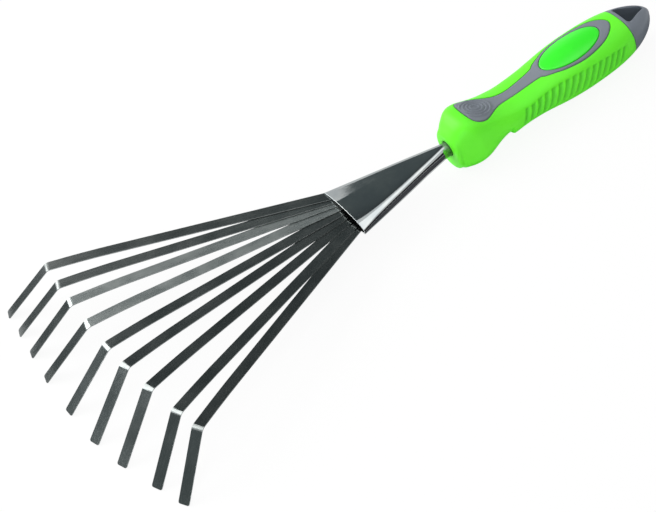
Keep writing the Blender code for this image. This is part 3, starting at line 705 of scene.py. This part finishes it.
# One side of the inlay's outline, from the front of the thumb pad to the rear of the ring.
half = [(PAD_FRONT, PAD_HALF * 0.43), (PAD_FRONT + 1.4 * MM, PAD_HALF * 0.86),
        (PAD_WIDEST, PAD_HALF)]
half += [(mix(PAD_WIDEST, INLAY_NECK_X, along), PAD_HALF * share)
         for along, share in ((0.18, 0.91), (0.48, 0.5), (0.68, 0.34))]
half += [(INLAY_NECK_X, INLAY_NECK_HALF)]
half += [(mix(INLAY_NECK_X, RING_X, along), RING_HALF * share)
         for along, share in ((0.36, 0.35), (0.45, 0.51), (0.55, 0.66), (0.73, 0.88), (1.0, 1.0))]
half += [(mix(RING_X, RING_REAR, along), RING_HALF * share)
         for along, share in ((0.5, 0.87), (0.81, 0.59), (1.0, 0.18))]
INLAY = smooth_outline([(x, -y) for x, y in half] + half[::-1], 8)


def distance_to(outline, points):
    """Distance of each point from an outline, below 0 inside it, and the direction straight out."""
    start, end = outline, np.roll(outline, -1, 0)
    along = end - start
    to = points[:, None, :] - start[None]
    share = np.clip((to * along).sum(2) / (along ** 2).sum(1), 0, 1)
    off = to - share[:, :, None] * along[None]
    far = np.hypot(off[:, :, 0], off[:, :, 1])
    nearest = far.argmin(1)
    rows = np.arange(len(points))
    crosses = (start[None, :, 1] > points[:, None, 1]) != (end[None, :, 1] > points[:, None, 1])
    rise = np.where(along[:, 1] == 0, 1e-12, along[:, 1])
    at = start[None, :, 0] + (points[:, None, 1] - start[None, :, 1]) / rise * along[None, :, 0]
    within = (crosses & (points[:, None, 0] < at)).sum(1) % 2 == 1
    sign = np.where(within, -1.0, 1.0)
    reach = far[rows, nearest]
    out = off[rows, nearest] / np.maximum(reach, 1e-9)[:, None] * sign[:, None]
    return reach * sign, out


def crease_height(x):
    """Height of the soft crease along each side of the handle."""
    return np.interp(x / MM, *CREASE) * MM


def rib_band(x, z):
    """1 where the side of the grip is ribbed, fading to 0 around it."""
    along = x + RIB_SLANT * (RIB_LEVEL - z)
    ends = ease((along - RIB_START) / (2.5 * MM)) * ease((RIB_END - along) / (3 * MM))
    below_crease = ease((crease_height(x) - z) / (0.9 * MM) - 0.3)
    return ends * below_crease * (1 - ease((-z / section(x)[2] - 0.2) / 0.35))


def rib_valley(x, z):
    """1 in the valleys between the slanting ribs and 0 on top of them."""
    along = x + RIB_SLANT * (RIB_LEVEL - z)
    return ease(0.72 - 0.95 * cos(2 * pi * (along - RIB_TOP_X) / RIB_PITCH))


def grip_relief(point, angle):
    """How far the sleeve's surface is pressed in below the plain form of the handle."""
    x, z = point.x, point.z
    depth = finger_hollow(point, angle)
    collar = max(1 - ((x - COLLAR_X) / COLLAR_HALF) ** 2, 0.0) ** 2
    depth += COLLAR_DEPTH * (1 - 0.7 * max(sin(angle), 0.0)) * collar
    below_crease = ease((crease_height(x) - z) / (1.6 * MM) + 0.3)
    side = ease((x / MM - 13) / 9) * (1 - ease((-z / section(x)[2] + 0.1) / 0.45))
    depth += CREASE_DEPTH * below_crease * side * (1 - ease((x - CREASE_END) / (6 * MM)))
    depth += RIB_DEPTH * (rib_valley(x, z) - 0.15) * rib_band(x, z)
    rear = min(max((x - REAR_ROUND_X) / REAR_ROUND_LENGTH, 0.0), 1.0)
    return depth + REAR_ROUND * (1 - sqrt(1 - rear ** 2))


outside = []
for mark in SLEEVE_MARKS:
    front = 1 - min(max(mark * MM - FACE_X, 0.0) / FRONT_ROUND_LENGTH, 1.0)
    inset = FRONT_ROUND * (1 - sqrt(1 - front ** 2))
    outside.append(body_ring(mark * MM, inset, BODY_POINTS, grip_relief))

grid = np.array([[list(point) for point in ring] for ring in outside])
above = grid[:, :, 2] > 2 * MM
pressed = grid[above]
reach, out = distance_to(INLAY, pressed[:, :2])
for index in np.flatnonzero(reach < POCKET_REACH):
    far, depth = reach[index], POCKET_DEPTH
    shift = POCKET_WALL - far
    if far > 0.0:
        shift, depth = POCKET_RIM - far, POCKET_RIM_SUNK
    elif far <= -FLOOR_FROM:
        shift = 0.0
    x, y = pressed[index][:2] + out[index] * shift
    pressed[index] = (x, y, surface_at(x, y) - depth)
grid[above] = pressed
outside = [[Vector(point) for point in ring] for ring in grid]

inside = [body_ring(mark * MM, SLEEVE_WALL - GAP, BODY_POINTS, finger_hollow)
          for mark in [*INNER_MARKS[::-1], BORE_END / MM]]
turns = [2 * pi * index / BODY_POINTS for index in range(BODY_POINTS)]
for x, radius in ((BORE_END, NECK_BORE), (FACE_X + 0.35 * MM, NECK_BORE),
                  (FACE_X + 0.1 * MM, NECK_BORE + 0.08 * MM), (FACE_X, NECK_BORE + BORE_ROUND)):
    inside.append([Vector((x, radius * cos(turn), radius * sin(turn))) for turn in turns])
bm = pull_shell(outside + inside)
# Painted shade: the valley attribute darkens the colour between the ribs, where shade falls.
shaded = bm.verts.layers.float.new("valley")
for vertex in bm.verts:
    x, z = vertex.co.x, vertex.co.z
    vertex[shaded] = rib_valley(x, z) * rib_band(x, z)
bmesh.ops.transform(bm, matrix=HANDLE_PLACE, verts=bm.verts)
# The rib grooves get painted shade through the valley attribute.
lime = moulded_plastic("lime_grip", (0.12, 0.92, 0.018), (0.155, 0.99, 0.025), 0.42, 0.35,
                       "valley", (0.06, 0.40, 0.03))
lime.finish({"Specular IOR Level": 0.35})
grip = show("lime_sleeve", bm, lime, smooth_below=55)
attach(grip, "root")
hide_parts("grip_sleeve")


# The inlay: soft grey rubber set flush in the sleeve's pocket, a thumb pad with raised rings in
# front, a narrow neck and an oval frame for the plate.  Its edges are rounded and darkened with
# painted shade, so a fine dark line rings it; painted shade also darkens the pad between its rings.

CELL = 0.42 * MM             # of the grid that its surface is modelled on
INLAY_THICKNESS, INLAY_EDGE_IN = 1.0 * MM, 0.08 * MM
EDGE_ROUND, EDGE_WIDTH = 0.3 * MM, 0.7 * MM
PAD_CENTRE, PAD_RINGS = 23.6 * MM, (2.0 * MM, 3.7 * MM, 5.4 * MM, 7.1 * MM)
PAD_RING_HEIGHT, PAD_RING_HALF = 0.5 * MM, 0.6 * MM
PLATE_X, PLATE_HALF_LENGTH, PLATE_HALF_WIDTH = 84.2 * MM, 18.5 * MM, 9.5 * MM
PLATE_HOLE_POINTS = 160
turns = np.arange(PLATE_HOLE_POINTS) * 2 * pi / PLATE_HOLE_POINTS
PLATE_HOLE = np.stack([PLATE_X + (PLATE_HALF_LENGTH + GAP) * np.cos(turns),
                       (PLATE_HALF_WIDTH + GAP) * np.sin(turns)], 1)


def inlay_reach(verts):
    """How far vertices lie outside the rubber, and the direction straight out of it."""
    points = np.array([vertex.co[:2] for vertex in verts])
    outer, outer_way = distance_to(INLAY, points)
    hole, hole_way = distance_to(PLATE_HOLE, points)
    at_hole = -hole > outer
    return np.where(at_hole, -hole, outer), np.where(at_hole[:, None], -hole_way, outer_way)


low, high = INLAY.min(0) - CELL, INLAY.max(0) + CELL
columns, rows = (int(size / CELL) + 1 for size in high - low)
bm = bmesh.new()
bmesh.ops.create_grid(bm, x_segments=columns, y_segments=rows, size=0.5)
bmesh.ops.scale(bm, vec=(*(high - low), 1.0), verts=bm.verts)
bmesh.ops.translate(bm, vec=(*((low + high) / 2), 0.0), verts=bm.verts)
reach, _ = inlay_reach(bm.verts)
outer = [vertex for vertex, far in zip(bm.verts, reach) if far > 0.3 * CELL]
bmesh.ops.delete(bm, geom=outer, context="VERTS")
loose = [vertex for vertex in bm.verts if len(vertex.link_faces) == 0]
bmesh.ops.delete(bm, geom=loose, context="VERTS")
for _ in range(2):
    border = [vertex for vertex in bm.verts if vertex.is_boundary]
    reach, out = inlay_reach(border)
    for vertex, far, way in zip(border, reach, out):
        vertex.co.xy = Vector(vertex.co[:2]) + Vector(way) * (-INLAY_EDGE_IN - far)
bmesh.ops.smooth_vert(bm, verts=[v for v in bm.verts if not v.is_boundary], factor=0.5,
                      use_axis_x=True, use_axis_y=True)
reach, _ = inlay_reach(bm.verts)
shaded = bm.verts.layers.float.new("valley")
for vertex, far in zip(bm.verts, reach):
    x, y = vertex.co.x, vertex.co.y
    in_pad = ease((-far - 0.9 * MM) / (0.5 * MM))
    from_middle = hypot((x - PAD_CENTRE) / 1.12, y)
    ridge = max(max(1 - ((from_middle - ring) / PAD_RING_HALF) ** 2, 0.0) for ring in PAD_RINGS)
    edge = max(1 + far / EDGE_WIDTH, 0.0)
    vertex.co.z = surface_at(x, y) + PAD_RING_HEIGHT * ridge * in_pad - EDGE_ROUND * edge ** 2
    # Painted shade: the rounded edge and the pad between its raised rings are darkened in the
    # colour.
    between = (1 - ridge) * in_pad * ease((9 * MM - from_middle) / MM) * 0.7
    vertex[shaded] = max(ease(1.4 * edge - 0.2), between)
grown = bmesh.ops.extrude_face_region(bm, geom=list(bm.faces), use_keep_orig=True)["geom"]
for vertex in (item for item in grown if isinstance(item, bmesh.types.BMVert)):
    vertex.co.z = surface_at(vertex.co.x, vertex.co.y) - INLAY_THICKNESS
face_outward(bm)
bmesh.ops.transform(bm, matrix=HANDLE_PLACE, verts=bm.verts)
# The valley attribute gives the rubber its painted shade at the edge and between the pad rings.
rubber = moulded_plastic("grey_rubber", (0.175, 0.20, 0.235), (0.21, 0.235, 0.27), 0.55, 0.7,
                         "valley", (0.08, 0.09, 0.11))
inlay = show("grey_inlay", bm, rubber, smooth_below=50)
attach(inlay, "root")
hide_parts("top_inlay")


# The plate: a small dome of glossy bright green plastic, moulded with a rounded rim and pressed
# into the oval frame of the inlay.

PLATE_DOME = 0.45 * MM
PLATE_POINTS = 96
profile = [(1.0, -0.9), (1.0, -0.32), (0.992, -0.16), (0.975, -0.05), (0.95, 0.0)]
profile += [(share, 0.0) for share in np.linspace(0.9, 0.05, 18)]      # share out, and mm up
rings = []
for share, up in profile:
    ring = []
    for turn in (2 * pi * index / PLATE_POINTS for index in range(PLATE_POINTS)):
        x = PLATE_X + PLATE_HALF_LENGTH * share * cos(turn)
        y = PLATE_HALF_WIDTH * share * sin(turn)
        ring.append(Vector((x, y, surface_at(x, y) + up * MM + PLATE_DOME * (1 - share ** 2))))
    rings.append(ring)
bm = pull_solid(rings)
bmesh.ops.transform(bm, matrix=HANDLE_PLACE, verts=bm.verts)
gloss = moulded_plastic("gloss_green", (0.022, 0.84, 0.010), (0.032, 0.94, 0.015), 0.34, 0.06)
gloss.finish({"Coat Weight": 0.15, "Coat Roughness": 0.2})
plate = show("green_plate", bm, gloss, smooth_below=50)
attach(plate, "root")
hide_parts("name_plate")
